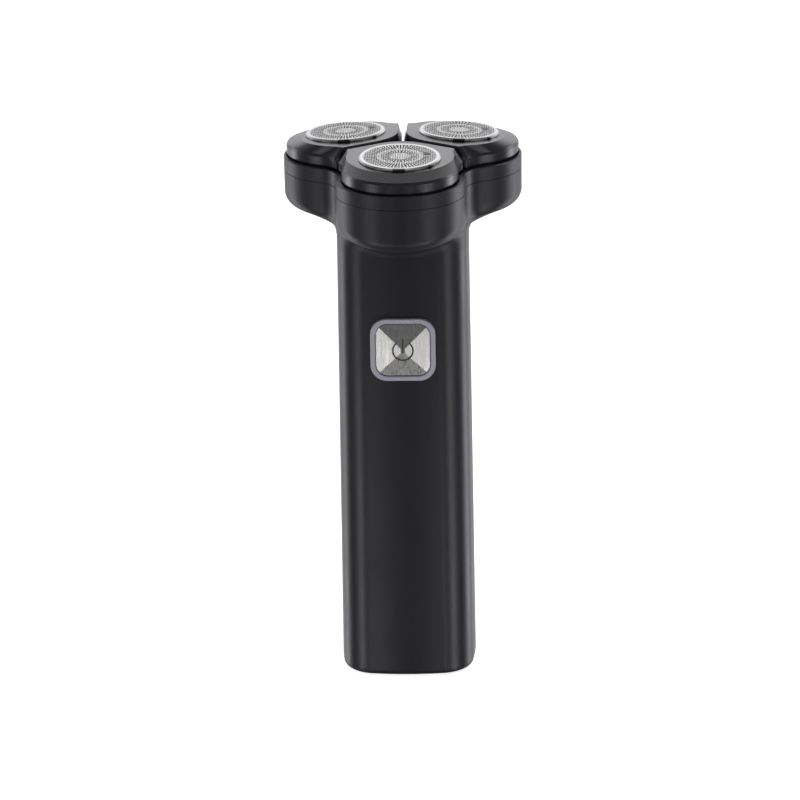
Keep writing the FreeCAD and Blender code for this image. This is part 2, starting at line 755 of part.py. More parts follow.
def make_head_base():
    """The bell that flares from the handle into three lobes, with its spigot and gear chambers."""
    bell = doc.addObject("Part::Feature", "bell")
    start, turning = dim("sleeve_top"), dim("flare_top")
    steps = 24
    levels = [start + (turning - start) * step / steps for step in range(steps + 1)]
    flare = Part.makeLoft([flare_section(level) for level in levels], True, False)
    wall = Part.Face(flare_section(turning)).extrude(UP * (dim("seam_level") - turning))
    bell.Shape = flare.fuse(wall)
    spigot = new_body("neck_spigot")
    plug = sketch(spigot, "sleeve_top - 7")
    squircle(plug, "top_half_width", dim("sleeve_wall") + 0.1)
    pad(plug, "7.5")
    blank = boolean("MultiFuse", "head_blank", bell, spigot)

    hollow = new_body("head_hollow")
    disc(hollow, "sleeve_top - 8", "motor_top - sleeve_top + 8", "motor_radius + 0.1")
    disc(hollow, "motor_top - 1", "chamber_floor - motor_top + 1", "2.2")
    disc(hollow, "chamber_floor - 0.01", "cover_bottom - chamber_floor + 0.02", "4.75")
    for azimuth in LOBES.values():
        centre = on_circle(azimuth, "pod_distance")
        disc(hollow, "chamber_floor", "cover_bottom - chamber_floor + 0.01", "chamber_radius", at=centre)
        disc(hollow, "cover_bottom", "4", "cover_lobe + 0.1", at=centre)
        disc(hollow, "chamber_floor - gear_pin_depth", "gear_pin_depth + 0.1", "gear_pin_radius", at=centre)
    disc(hollow, "cover_bottom", "4", "9")
    screw_holes(hollow)
    sub_parts.append(boolean("Cut", "head_base", blank, hollow))


def screw_holes(body):
    """Holes for the motor's screws, the cover's screws and the catch magnets."""
    for x in ("-motor_screw_reach", "motor_screw_reach"):
        disc(body, "motor_top - 1", "5", "0.92", at=(x, "0"))
        disc(body, "motor_top + 3.15", "1.1", "1.65", at=(x, "0"))
    for azimuth in LOBES.values():
        crease = azimuth + 60
        screw_top = "cover_screw_length + 0.8"
        disc(body, "cover_bottom - cover_screw_length", screw_top, "cover_screw_radius",
             at=on_circle(crease, "cover_screw_reach"))
        disc(body, "seam_level - base_magnet_height", "2", "magnet_radius + 0.05",
             at=on_circle(crease, "magnet_reach"))


def make_gear_cover():
    """The lobed plate over the gears, with bushes for the spindles, pins, screws and catch magnets."""
    cover = part("gear_cover")
    for azimuth in LOBES.values():
        disc(cover, "cover_bottom", "cover_plate", "cover_lobe", at=on_circle(azimuth, "pod_distance"))
    disc(cover, "cover_bottom", "cover_plate", "cover_middle")
    for azimuth in LOBES.values():
        bore(cover, "cover_bottom - 1", "5", "bush_radius", at=on_circle(azimuth, "pod_distance"))
        bore(cover, "cover_bottom - 1", "5", "cover_screw_radius + running_gap",
             at=on_circle(azimuth + 60, "cover_screw_reach"))
    bushes = part("spindle_bushes")
    screws = part("cover_screws")
    pins = part("gear_pins")
    base_magnets = part("base_magnets")
    frame_magnets = part("frame_magnets")
    bush_hole = "spindle_radius + running_gap"
    for azimuth in LOBES.values():
        centre = on_circle(azimuth, "pod_distance")
        disc(bushes, "cover_bottom", "cover_plate + 0.6", "bush_radius", bush_hole, at=centre)
        disc(bushes, "cover_bottom + cover_plate", "0.6", "bush_flange", bush_hole, at=centre)
        pin_foot = "chamber_floor - gear_pin_depth"
        disc(pins, pin_foot, f"gear_pin_top - ({pin_foot})", "gear_pin_radius", at=centre)
        crease = on_circle(azimuth + 60, "cover_screw_reach")
        disc(screws, "cover_bottom - cover_screw_length", "cover_screw_length + cover_plate",
             "cover_screw_radius", at=crease)
        disc(screws, "cover_bottom + cover_plate", "0.8", "1.3", at=crease)
        corner = on_circle(azimuth + 60, "magnet_reach")
        disc(base_magnets, "seam_level - base_magnet_height", "base_magnet_height",
             "magnet_radius", at=corner)
        disc(frame_magnets, "seam_level", "frame_magnet_height", "magnet_radius", at=corner)


def tooth_outline(teeth, turn=0.0):
    """A spur gear's outline: straight-flanked teeth whose thickness leaves backlash at the pitch circle."""
    module = dim("gear_module")
    pitch = module * teeth / 2
    root, tip = pitch - 1.25 * module, pitch + module
    half_tooth = math.degrees((math.pi * module / 2 - dim("gear_backlash")) / 2 / pitch)
    pressure = math.tan(math.radians(20))
    spread_root = half_tooth + math.degrees(1.25 * module * pressure / pitch)
    spread_tip = half_tooth - math.degrees(module * pressure / pitch)
    spread_root = min(spread_root, 180 / teeth - 0.5)
    points = []
    for tooth in range(teeth):
        middle = turn + 360 * tooth / teeth
        points.append(turned(middle - spread_root) * root)
        points.append(turned(middle - spread_tip) * tip)
        points.append(turned(middle + spread_tip) * tip)
        points.append(turned(middle + spread_root) * root)
    return Part.Face(Part.makePolygon(points + points[:1]))


def hexagon(flat, turn=0.0):
    """A hexagon from half its width across flats."""
    corner = flat / math.cos(math.radians(30))
    points = [turned(turn + 60 * side) * corner for side in range(7)]
    return Part.Face(Part.makePolygon(points))


def lifted(face, level, height):
    """Raise a flat face from a level."""
    solid = face.extrude(UP * height)
    solid.translate(UP * level)
    return solid


def round_bar(radius, level, height):
    return Part.makeCylinder(radius, height, UP * level)


def feature(label, shape, place=None):
    """A sub-part whose shape comes straight from Part's functions."""
    made = doc.addObject("Part::Feature", label)
    made.Label = label
    inner = shape.Placement
    made.Shape = shape
    made.Placement = (place or Placement()).multiply(inner)
    sub_parts.append(made)
    return made


def make_rotor():
    """The motor's shaft and the pinion pressed on it."""
    shaft = part("motor_shaft")
    disc(shaft, "motor_bottom - 1.5", "pinion_bottom + pinion_height - motor_bottom + 2",
         "gear_pin_radius")
    pinion = lifted(tooth_outline(int(dim("pinion_teeth"))), dim("pinion_bottom"), dim("pinion_height"))
    hole = round_bar(dim("gear_pin_radius"), dim("pinion_bottom") - 1, 6)
    feature("drive_pinion", pinion.cut(hole))


def make_drives():
    """For each pod, a gear on its pin and the sprung spindle that rides up and down the gear's post."""
    gap = dim("running_gap")
    for name, azimuth in LOBES.items():
        place = Placement(turned(azimuth) * dim("pod_distance"), Rotation(UP, azimuth))
        teeth = int(dim("gear_teeth"))
        # the pinion's nearest tooth is a share of its pitch past this azimuth, and a gap faces it
        pinion_phase = (azimuth * dim("pinion_teeth") / 360) % 1
        turn = 180 + (0.5 + pinion_phase) * 360 / teeth
        bottom, web = dim("gear_bottom"), dim("gear_web")
        wheel = lifted(tooth_outline(teeth, turn), bottom, web)
        hub = round_bar(3.0, bottom - 0.4, web + 0.4)
        post = lifted(hexagon(dim("post_flats")), bottom, dim("post_top") - bottom)
        hole = round_bar(dim("gear_pin_radius") + gap, bottom - 1, 12)
        solid = wheel.fuse(hub).fuse(post)
        for spoke in range(6):
            window = round_bar(2.6, bottom - 1, web + 2)
            window.translate(turned(60 * spoke + 30) * 8.2)
            solid = solid.cut(window)
        feature(f"drive_gear_{name}", solid.cut(hole), place)

        low, shoulder, tip = dim("spindle_bottom"), dim("spindle_shoulder"), dim("spindle_tip")
        spindle = round_bar(dim("spindle_radius"), low, shoulder - low)
        spindle = spindle.fuse(lifted(hexagon(dim("tip_flats")), shoulder, tip - shoulder))
        socket = lifted(hexagon(dim("post_flats") + gap), low - 1, dim("post_top") + 1.2 - low + 1)
        feature(f"drive_spindle_{name}", spindle.cut(socket), place)
        make_spindle_spring(name, place)


def make_spindle_spring(name, place):
    """A short wave spring: four thin washers joined at crests that alternate across and along."""
    spring = part(f"spindle_spring_{name}", place)
    washers, thick = 4, 0.2
    bottom = dim("gear_bottom") + dim("gear_web")
    pitch = (dim("spindle_bottom") - bottom - thick) / (washers - 1)
    for index in range(washers):
        disc(spring, bottom + index * pitch, thick, "2.95", "2.3")
    for index in range(washers - 1):
        for near, far in (("2.35", "2.85"), ("-2.85", "-2.35")):
            spans = (near, far, "-0.4", "0.4") if index % 2 else ("-0.4", "0.4", near, far)
            block(spring, bottom + index * pitch + thick / 2, pitch, *spans)


# ---------------------------------------------------------------- cutter frame and pods


def make_cutter_frame():
    """The removable tray that holds the pods: a lobed wall, a floor and an opening under each pod."""
    body = new_body("frame_blank")
    outline = sketch(body, "seam_level")
    trilobe(outline)
    pad(outline, "rim_level - seam_level")
    soften(body, "rim_round", at_level(dim("rim_level")))
    soften(body, "0.15", at_level(dim("seam_level")), "Chamfer")
    for azimuth in LOBES.values():
        bore(body, "seam_level - 1", "10", "frame_opening", at=on_circle(azimuth, "pod_distance"))
        bore(body, "seam_level - 0.01", "frame_magnet_height + 0.02", "magnet_radius + 0.02",
             at=on_circle(azimuth + 60, "magnet_reach"))
    pockets = []
    for name, azimuth in LOBES.items():
        pocket = new_body(f"pocket_{name}", pod_place(azimuth))
        outline = sketch(pocket, "seam_level + frame_floor")
        pod_outline(outline, "pod", -dim("pocket_gap"), dim("pocket_overlap"))
        pad(outline, "5")
        pockets.append(pocket)
    middle = new_body("pocket_middle")
    disc(middle, "seam_level + frame_floor", "5", "6")
    hollow = boolean("MultiFuse", "pockets", middle, *pockets)
    sub_parts.append(boolean("Cut", "cutter_frame", body, hollow))


def make_pod(name, azimuth):
    """One floating pod: sliding gimbal and its leaf spring, then the bezel, foil, retainer and cutter."""
    lean = dim("pod_lean")
    level_place, leaning_place = pod_place(azimuth), pod_place(azimuth, lean)

    gimbal = part(f"gimbal_ring_{name}", leaning_place)
    outline = sketch(gimbal, "pod_pivot - trunnion_radius")
    pod_outline(outline, "pod", dim("gimbal_inset"))
    pad(outline, "2 * trunnion_radius")
    rod = sketch(gimbal, "0", plane="YZ_Plane")
    circle(rod, "trunnion_radius", "0", "pod_pivot")
    pad(rod, "2 * trunnion_reach", both_ways=True)
    inner = sketch(gimbal, "pod_pivot - trunnion_radius - 1")
    pod_outline(inner, "pod", dim("gimbal_inset") + dim("gimbal_width"))
    cut(inner, "5")

    leaf = part(f"float_spring_{name}", level_place)
    disc(leaf, "seam_level + frame_floor", "leaf_thickness", "leaf_outer", "leaf_inner")
    for side in ("-leaf_arm_reach - leaf_arm_width", "leaf_arm_reach"):
        arm = sketch(leaf, side, plane="YZ_Plane")
        leaf_arm(arm)
        pad(arm, "leaf_arm_width")

    bezel = part(f"pod_bezel_{name}", level_place)
    sections = []
    for level, kind, inset, tilt in (("wall_bottom", "pod", 0.0, 0.0),
                                     ("wall_top", "pod", 0.0, 0.0),
                                     ("wall_top + edge_rise", "pod", dim("edge_round"), 0.0),
                                     ("face_level", "face", 0.0, lean)):
        section = sketch(bezel, level, lean=tilt)
        pod_outline(section, kind, inset)
        sections.append(section)
    loft = bezel.newObject("PartDesign::AdditiveLoft", f"pod_bezel_{name}_loft")
    loft.Profile = sections[0]
    loft.Sections = [(section, [""]) for section in sections[1:]]
    loft.Ruled = True
    skirt = sketch(bezel, "skirt_bottom")
    pod_outline(skirt, "pod", dim("skirt_inset"))
    pad(skirt, "wall_bottom - skirt_bottom")
    cavity = sketch(bezel, "pod_pivot + 1.8", lean=lean)
    pod_outline(cavity, "pod", dim("cavity_inset"))
    cut(cavity, "6", downward=True)
    bore(bezel, "pod_pivot + 1.7", "1.65", "retainer_radius + running_gap", lean=lean)
    bore(bezel, "pod_pivot + 1.7", "1.65 + 1.1", "foil_flange + running_gap", lean=lean)
    bore(bezel, "pod_pivot + 1.8", "8", "foil_radius + 0.1", lean=lean)
    holes = sketch(bezel, "0", plane="YZ_Plane")
    circle(holes, "trunnion_radius + running_gap", "0", "pod_pivot")
    cut(holes, "2 * (trunnion_reach + 0.1)", both_ways=True)

    make_foil(name, leaning_place)
    make_retainer(name, leaning_place)
    make_cutter(name, leaning_place)


def leaf_arm(made):
    """The bent arm of a leaf spring, seen from the side: a slope up from the floor to the gimbal."""
    floor, under = dim("seam_level") + dim("frame_floor"), dim("pod_pivot") - dim("trunnion_radius")
    lower = under - 0.22
    corners = [(-4.0, floor), (-3.0, floor), (1.5, lower), (2.2, lower), (2.2, under), (1.2, under)]
    first = made.GeometryCount
    for index, corner in enumerate(corners):
        following = corners[(index + 1) % len(corners)]
        made.addGeometry(Part.LineSegment(Vector(*corner, 0), Vector(*following, 0)))
    for index, (x, y) in enumerate(corners):
        fix(made, "Coincident", first + index, 2, first + (index + 1) % len(corners), 1)
        fix_point(made, first + index, 1, x, y)


def make_foil(name, place):
    """The steel outer cutter: a slotted cap with a bevelled rim and a flange at its foot."""
    foil = part(f"foil_{name}", place)
    disc(foil, "foil_bottom", "0.5", "foil_flange")
    disc(foil, "foil_bottom", "foil_top - foil_bottom", "foil_radius")
    disc(foil, "foil_top - 0.65", "0.65", "foil_rim")
    soften(foil, "foil_skin", at_level(dim("foil_top")), "Chamfer")
    bore(foil, "foil_bottom - 0.4", "foil_top - foil_skin - foil_bottom + 0.4", "foil_radius - foil_skin")
    slot = sketch(foil, "foil_top - 1")
    rectangle(slot, "track_inner", "track_outer", "-0.15", "0.15")
    polar(foil, cut(slot, "3"), "foil_slots")
    short = sketch(foil, "foil_top - 1")
    rectangle(short, "2.6", "4.9", "-0.15", "0.15")
    polar(foil, cut(short, "3"), "foil_slots / 2")


def make_retainer(name, place):
    """The ring that holds the foil up in its bezel, and the spokes that carry the cutter's hub."""
    ring = part(f"cutter_retainer_{name}", place)
    disc(ring, "pod_pivot + 1.8", "0.98", "retainer_radius", "9.8")
    disc(ring, "pod_pivot + 1.15", "0.65", "retainer_radius", "10.6")
    disc(ring, "pod_pivot + 0.9", "0.9", "4.4", "3.2 + 2 * running_gap")
    spoke = sketch(ring, "pod_pivot + 1.15")
    rectangle(spoke, "4.0", "10.8", "-0.8", "0.8")
    polar(ring, pad(spoke, "0.65"), "3")


def make_cutter(name, place):
    """The rotating cutter: a plastic hub with a hexagonal socket, and a ring of steel blades on it."""
    hub = part(f"cutter_hub_{name}", place)
    disc(hub, "137.3", "2.4", "3.2")
    disc(hub, "foil_bottom - 0.75", "0.75", "8.9")
    socket = sketch(hub, "137.2")
    hexagon_hole(socket)
    cut(socket, "2.8")
    blades = part(f"cutter_blades_{name}", place)
    disc(blades, "foil_bottom", "0.5", "track_outer + 0.1", "track_inner - 0.2")
    blade = sketch(blades, "foil_bottom + 0.4")
    rectangle(blade, "track_inner", "track_outer", "-0.25", "0.25")
    polar(blades, pad(blade, "foil_top - foil_skin - 0.48 - foil_bottom"), "blade_count")


def hexagon_hole(made):
    """A hexagon with the socket's width across flats, drawn about the origin."""
    corner = dim("socket_flats") / math.cos(math.radians(30))
    corners = [turned(60 * side) * corner for side in range(6)]
    first = made.GeometryCount
    for index, point in enumerate(corners):
        made.addGeometry(Part.LineSegment(point, corners[(index + 1) % 6]))
    for index in range(6):
        fix(made, "Coincident", first + index, 2, first + (index + 1) % 6, 1)
        across = f"socket_flats / cos(30 * 1 deg) * cos({60 * index} * 1 deg)"
        along = f"socket_flats / cos(30 * 1 deg) * sin({60 * index} * 1 deg)"
        fix_point(made, first + index, 1, across, along)


# ---------------------------------------------------------------- build, check and write


def check_and_write():
    """Recompute, refuse any failed object or bad shape, and write one file for each sub-part."""
    doc.recompute()
    for made in doc.Objects:
        if "Invalid" in made.State or "Error" in made.State:
            raise RuntimeError(f"{made.Label} did not recompute: {made.State}")
    for made in sub_parts:
        if made.Shape.isNull() or not made.Shape.isValid() or not made.Shape.Solids:
            raise RuntimeError(f"{made.Label} has no valid solid")
    os.makedirs("parts", exist_ok=True)
    for made in sub_parts:
        made.Shape.exportStep(f"parts/{made.Label}.step")
        print(f"{made.Label}: {made.Shape.Volume:.1f} mm3, {len(made.Shape.Solids)} solid(s)")


make_sleeve()
make_bottom_cap()
make_charging_port()
make_circuit_board()
make_battery()
make_inner_frame()
make_motor()
make_button()
make_head_base()
make_gear_cover()
make_rotor()
make_drives()
make_cutter_frame()
for pod_name, pod_azimuth in LOBES.items():
    make_pod(pod_name, pod_azimuth)
check_and_write()
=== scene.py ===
import json
import math

import bmesh
import bpy
from mathutils import Matrix, Quaternion, Vector

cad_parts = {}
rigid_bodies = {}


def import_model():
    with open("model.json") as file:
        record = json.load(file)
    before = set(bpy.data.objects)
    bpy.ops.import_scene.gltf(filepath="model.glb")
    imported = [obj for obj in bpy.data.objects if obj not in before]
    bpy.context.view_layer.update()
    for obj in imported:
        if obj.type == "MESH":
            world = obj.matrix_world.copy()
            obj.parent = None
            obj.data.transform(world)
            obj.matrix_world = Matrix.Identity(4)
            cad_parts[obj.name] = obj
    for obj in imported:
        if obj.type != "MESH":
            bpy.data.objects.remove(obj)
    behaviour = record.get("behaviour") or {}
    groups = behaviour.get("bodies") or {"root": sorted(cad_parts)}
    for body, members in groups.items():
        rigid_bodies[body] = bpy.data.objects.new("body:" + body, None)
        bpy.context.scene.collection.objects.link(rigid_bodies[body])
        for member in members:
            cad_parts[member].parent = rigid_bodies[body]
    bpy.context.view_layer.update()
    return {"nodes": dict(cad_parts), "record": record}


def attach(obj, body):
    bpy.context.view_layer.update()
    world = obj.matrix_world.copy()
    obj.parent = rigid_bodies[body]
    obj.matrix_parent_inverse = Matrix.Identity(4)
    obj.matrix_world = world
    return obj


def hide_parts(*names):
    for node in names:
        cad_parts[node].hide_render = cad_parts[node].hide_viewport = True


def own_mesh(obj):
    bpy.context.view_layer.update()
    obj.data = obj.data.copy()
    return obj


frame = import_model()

scene = bpy.context.scene

# Sizes of the object are in millimetres and degrees, as in its design; the scene itself is in metres.
MM = 0.001
LOBES = {"front": -90.0, "right": 30.0, "left": 150.0}
POD_DISTANCE, POD_PIVOT, POD_LEAN = 16.75, 137.6, 3.0
FOIL_TOP, FACE_LEVEL, FOIL_RIM = 143.6, 142.9, 10.42
PIERCED_REACH = 9.35
BUTTON_LEVEL, BUTTON_HALF, BUTTON_TIP = 92.2, 6.95, 0.6
BUTTON_BASE, BUTTON_RISE = 17.75, 0.95


# ---------------------------------------------------------------- camera, floor and light

CAMERA_DISTANCE = 0.8
CAMERA_ELEVATION = math.radians(19.98)
CAMERA_AZIMUTH = math.radians(1.69)
CAMERA_ROLL = math.radians(-0.95)
CAMERA_LENS = 135.7
CAMERA_SHIFT = -0.0072
SENSOR_WIDTH = 36
AIM = Vector((0, 0, 0.072))
LOW_AIM = Vector((0, 0, -0.42))
PLAIN_WHITE, COOL_WHITE, LILAC_WHITE = (1, 1, 1), (0.95, 0.94, 1.0), (0.94, 0.92, 1.0)
FLOOR_HALF, FLOOR_DROP = 6.0, 0.0001


def direction(azimuth, elevation):
    """Unit vector away from the object: azimuth 0 is in front and 90 degrees to the right, in radians."""
    level = math.cos(elevation)
    return Vector((math.sin(azimuth) * level, -math.cos(azimuth) * level, math.sin(elevation)))


def add_camera():
    """A long lens in front of the button, a little above, with a slight roll."""
    data = bpy.data.cameras.new("camera")
    data.lens = CAMERA_LENS
    data.sensor_width = SENSOR_WIDTH
    data.shift_x = CAMERA_SHIFT
    camera = bpy.data.objects.new("camera", data)
    scene.collection.objects.link(camera)
    back = direction(CAMERA_AZIMUTH, CAMERA_ELEVATION)
    camera.location = AIM + back * CAMERA_DISTANCE
    camera.rotation_mode = "QUATERNION"
    camera.rotation_quaternion = (-back).to_track_quat("-Z", "Y") @ Quaternion((0, 0, 1), CAMERA_ROLL)
    scene.camera = camera


def add_area(name, azimuth, elevation, distance, size, power, aim, color):
    """A rectangular softbox at an azimuth and elevation in degrees from its aim, which it faces."""
    data = bpy.data.lights.new(name, "AREA")
    data.shape = "RECTANGLE"
    data.size, data.size_y = size
    data.energy = power
    data.color = color
    light = bpy.data.objects.new(name, data)
    scene.collection.objects.link(light)
    away = direction(math.radians(azimuth), math.radians(elevation))
    light.location = aim + away * distance
    light.rotation_mode = "QUATERNION"
    light.rotation_quaternion = (-away).to_track_quat("-Z", "Y")
    light.visible_camera = False


def add_floor():
    """A wide pale floor. It doesn't show in reflections, as under a product on a light table."""
    mesh = bpy.data.meshes.new("floor")
    corners = [(-1, -1), (1, -1), (1, 1), (-1, 1)]
    points = [(x * FLOOR_HALF, y * FLOOR_HALF, 0) for x, y in corners]
    mesh.from_pydata(points, [], [(0, 1, 2, 3)])
    floor = bpy.data.objects.new("floor", mesh)
    floor.location.z = -FLOOR_DROP
    scene.collection.objects.link(floor)
    material = bpy.data.materials.new("floor_paper")
    material.use_nodes = True
    shader = material.node_tree.nodes["Principled BSDF"]
    shader.inputs["Base Color"].default_value = (0.92, 0.92, 0.92, 1)
    shader.inputs["Roughness"].default_value = 0.9
    shader.inputs["Emission Color"].default_value = (1, 1, 1, 1)
    shader.inputs["Emission Strength"].default_value = 0.8
    mesh.materials.append(material)
    floor.visible_glossy = False


def add_world():
    """A white studio: bright behind and above the object, dim in front of it."""
    world = bpy.data.worlds.new("studio")
    scene.world = world
    world.use_nodes = True
    nodes, links = world.node_tree.nodes, world.node_tree.links
    background = nodes["Background"]
    coordinates = nodes.new("ShaderNodeTexCoord")
    split = nodes.new("ShaderNodeSeparateXYZ")
    links.new(coordinates.outputs["Generated"], split.inputs[0])
    brightness = map_range(nodes, links, split.outputs["Y"], 0.1, 0.95, 0.18, 1.05, "SMOOTHSTEP")
    links.new(brightness, background.inputs["Strength"])
    background.inputs["Color"].default_value = (0.97, 0.975, 1.0, 1)


def add_lights():
    """Soft lights behind and above, and pairs of strips, streaks, fills and rims at the sides."""
    lights = [
        ("back_high", 180, 36, 1.5, (2.2, 1.1), 7, AIM, PLAIN_WHITE),
        ("front_top", 0, 66, 1.4, (1.6, 0.5), 1.6, AIM, PLAIN_WHITE),
        ("back_low", 180, 21, 1.6, (2.4, 0.7), 0.8, AIM, COOL_WHITE),
        ("strip_left", -19, 0, 0.75, (0.13, 0.51), 1.0, LOW_AIM, PLAIN_WHITE),
        ("strip_right", 19, 0, 0.75, (0.13, 0.51), 1.0, LOW_AIM, PLAIN_WHITE),
        ("streak_left", -50, 0, 0.75, (0.08, 0.51), 1.3, LOW_AIM, PLAIN_WHITE),
        ("streak_right", 50, 0, 0.75, (0.08, 0.51), 1.5, LOW_AIM, PLAIN_WHITE),
        ("fill_left", -56, -8, 0.8, (0.25, 1.1), 1.3, AIM, PLAIN_WHITE),
        ("fill_right", 56, -8, 0.8, (0.25, 1.1), 1.5, AIM, PLAIN_WHITE),
        ("rim_right", 118, -8, 0.9, (0.25, 1.2), 4.6, AIM, LILAC_WHITE),
        ("rim_left", -118, -8, 0.9, (0.25, 1.2), 3.8, AIM, COOL_WHITE),
    ]
    for name, azimuth, elevation, distance, size, power, aim, color in lights:
        add_area(name, azimuth, elevation, distance, size, power, aim, color)



# ---------------------------------------------------------------- materials


def new_material(name):
    """A material with its node tree ready to be extended."""
    material = bpy.data.materials.new(name)
    material.use_nodes = True
    return material, material.node_tree.nodes, material.node_tree.links


def object_coordinates(nodes, links, stretch=(1, 1, 1)):
    """Points in metres in the piece's own frame, stretched for brushed or drawn surfaces."""
    coordinates = nodes.new("ShaderNodeTexCoord")
    mapping = nodes.new("ShaderNodeMapping")
    mapping.inputs["Scale"].default_value = stretch
    links.new(coordinates.outputs["Object"], mapping.inputs["Vector"])
    return mapping.outputs["Vector"]


def noise(nodes, links, vector, scale, detail):
    """Fractal noise at a point, from 0 to 1."""
    texture = nodes.new("ShaderNodeTexNoise")
    texture.inputs["Scale"].default_value = scale
    texture.inputs["Detail"].default_value = detail
    links.new(vector, texture.inputs["Vector"])
    return texture.outputs["Fac"]


def map_range(nodes, links, value, from_min, from_max, to_min, to_max, kind="LINEAR"):
    """Map one range of values onto another, clamped at its ends."""
    ramp = nodes.new("ShaderNodeMapRange")
    ramp.interpolation_type = kind
    ramp.inputs["From Min"].default_value = from_min
    ramp.inputs["From Max"].default_value = from_max
    ramp.inputs["To Min"].default_value = to_min
    ramp.inputs["To Max"].default_value = to_max
    links.new(value, ramp.inputs["Value"])
    return ramp.outputs["Result"]


def spread(nodes, links, value, low, high):
    """Map a noise, which seldom leaves 0.3 to 0.7, onto a narrow range."""
    return map_range(nodes, links, value, 0.3, 0.7, low, high)


def vector_math(nodes, links, operation, vector, constant=(0, 0, 0)):
    """A vector operation with a constant as its second operand."""
    node = nodes.new("ShaderNodeVectorMath")
    node.operation = operation
    links.new(vector, node.inputs[0])
    node.inputs[1].default_value = constant
    return node.outputs["Value" if operation == "LENGTH" else "Vector"]


def tint(nodes, links, value, dark, light):
    """Mix two colours by a noise."""
    mix = nodes.new("ShaderNodeMix")
    mix.data_type = "RGBA"
    mix.inputs["A"].default_value = (*dark, 1)
    mix.inputs["B"].default_value = (*light, 1)
    links.new(value, mix.inputs["Factor"])
    return mix.outputs["Result"]


def bump(nodes, links, height, distance):
    """A normal roughened by a height, with the depth of the relief in metres."""
    node = nodes.new("ShaderNodeBump")
    node.inputs["Distance"].default_value = distance
    links.new(height, node.inputs["Height"])
    return node.outputs["Normal"]


def plastic(name, dark, light, rough, specular):
    """Moulded plastic: fine spark-eroded grain, slight mottling of colour and gloss."""
    material, nodes, links = new_material(name)
    shader = nodes["Principled BSDF"]
    vector = object_coordinates(nodes, links)
    broad = noise(nodes, links, vector, 60, 3)
    fine = noise(nodes, links, vector, 3200, 1)
    links.new(tint(nodes, links, broad, dark, light), shader.inputs["Base Color"])
    links.new(spread(nodes, links, broad, rough - 0.02, rough + 0.03), shader.inputs["Roughness"])
    links.new(bump(nodes, links, fine, 0.000004), shader.inputs["Normal"])
    shader.inputs["Specular IOR Level"].default_value = specular
    return material


def metal(name, dark, light, rough, stretch, scale):
    """Metal with drawn or brushed marks along one direction."""
    material, nodes, links = new_material(name)
    shader = nodes["Principled BSDF"]
    vector = object_coordinates(nodes, links, stretch)
    marks = noise(nodes, links, vector, scale, 3)
    links.new(tint(nodes, links, marks, dark, light), shader.inputs["Base Color"])
    links.new(spread(nodes, links, marks, rough - 0.06, rough + 0.08), shader.inputs["Roughness"])
    links.new(bump(nodes, links, marks, 0.000003), shader.inputs["Normal"])
    shader.inputs["Metallic"].default_value = 1.0
    return material


def foil_steel(lobe, centre):
    """A foil: a plain bright rim round a face pierced by rows of fine dark holes."""
    material, nodes, links = new_material(f"foil_steel_{lobe}")
    shader = nodes["Principled BSDF"]
    coordinates = nodes.new("ShaderNodeTexCoord")
    local = vector_math(nodes, links, "SUBTRACT", coordinates.outputs["Object"], centre)
    flat = vector_math(nodes, links, "MULTIPLY", local, (1, 1, 0))
    reach = vector_math(nodes, links, "LENGTH", flat)
    edge, blur = PIERCED_REACH * MM, 0.15 * MM
    pierced = map_range(nodes, links, reach, edge - blur, edge + blur, 1.0, 0.0)
    holes = nodes.new("ShaderNodeTexVoronoi")
    holes.inputs["Scale"].default_value = 1700
    holes.inputs["Randomness"].default_value = 0.25
    links.new(flat, holes.inputs["Vector"])
    hole = map_range(nodes, links, holes.outputs["Distance"], 0.38, 0.5, 1.0, 0.0)
    dark = nodes.new("ShaderNodeMath")
    dark.operation = "MULTIPLY"
    links.new(pierced, dark.inputs[0])
    links.new(hole, dark.inputs[1])
    marks = noise(nodes, links, local, 900, 3)
    steel = tint(nodes, links, marks, (0.36, 0.355, 0.35), (0.47, 0.465, 0.46))
    mix = nodes.new("ShaderNodeMix")
    mix.data_type = "RGBA"
    links.new(dark.outputs["Value"], mix.inputs["Factor"])
    links.new(steel, mix.inputs["A"])
    mix.inputs["B"].default_value = (0.035, 0.035, 0.035, 1)
    links.new(mix.outputs["Result"], shader.inputs["Base Color"])
    links.new(spread(nodes, links, marks, 0.26, 0.38), shader.inputs["Roughness"])
    links.new(bump(nodes, links, marks, 0.000006), shader.inputs["Normal"])
    shader.inputs["Metallic"].default_value = 1.0
    return material


